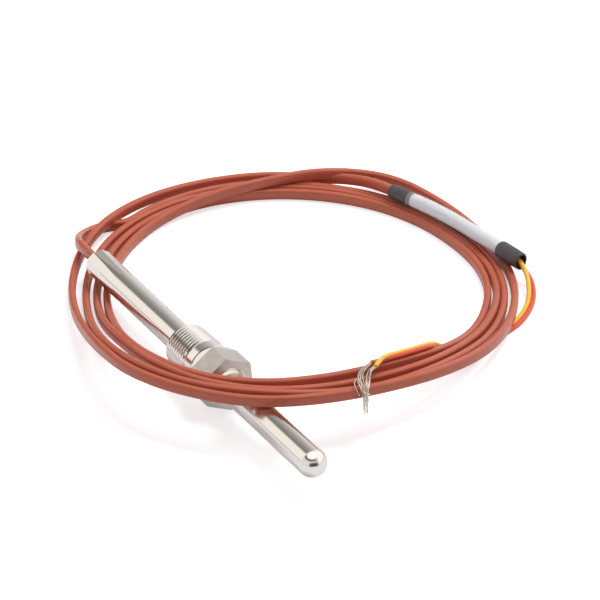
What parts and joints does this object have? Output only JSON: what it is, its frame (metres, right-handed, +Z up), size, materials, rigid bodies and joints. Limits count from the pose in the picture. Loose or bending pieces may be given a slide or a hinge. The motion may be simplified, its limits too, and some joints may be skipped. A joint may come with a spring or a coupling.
{
  "type": "thermocouple",
  "caption": "Sheathed temperature probe with a tapered pipe-thread hex bushing fixed part way along it and a coiled flat two-wire lead ending in bare wires.",
  "frame": {"origin": "centre of the rigid probe's length and width, on the floor under its lowest hex corner", "axes": "+X along the sheath towards its closed tip, +Z up, +Y towards the coil"},
  "size_m": [0.1278, 0.1062, 0.0143],
  "materials": {
    "sheath": "drawn stainless tube",
    "bushing_steel": "turned stainless bar",
    "braze": "brazed fillet",
    "thermo_alloy": "drawn nickel alloy wire",
    "bare_strands": "fine bare strands",
    "ceramic": "fired ceramic",
    "bushing_rubber": "soft bushing pressed by the crimp",
    "jacket": "extruded fluoropolymer, red-brown",
    "yellow_insulation": "extruded fluoropolymer, yellow",
    "red_insulation": "extruded fluoropolymer, red",
    "grey_sleeve": "heat-shrink sleeve",
    "label_cloth": "bare white tag",
    "clear_cover": "clear film"
  },
  "bodies": {
    "root": {"sheath_tube": "sheath", "tip_cap": "sheath", "junction_bead": "thermo_alloy", "tip_fill": "ceramic", "positive_thermoelement": "thermo_alloy", "negative_thermoelement": "thermo_alloy", "positive_insulation_inner": "yellow_insulation", "negative_insulation_inner": "red_insulation", "ceramic_insulator_1": "ceramic", "ceramic_insulator_2": "ceramic", "ceramic_insulator_3": "ceramic", "ceramic_insulator_4": "ceramic", "crimp_bushing": "bushing_rubber", "end_seal": "ceramic", "cable_stub": "jacket", "mounting_bushing": "bushing_steel", "braze_ring_front": "braze", "braze_ring_rear": "braze", "cable_lead": "jacket", "cable_coil": "jacket", "cable_tail": "jacket", "sleeve_cable_end": "grey_sleeve", "label_sleeve": "label_cloth", "clear_label_cover": "clear_cover", "sleeve_wire_end": "grey_sleeve", "positive_wire": "yellow_insulation", "negative_wire": "red_insulation", "positive_strands": "bare_strands", "negative_strands": "bare_strands"}
  },
  "joints": []
}
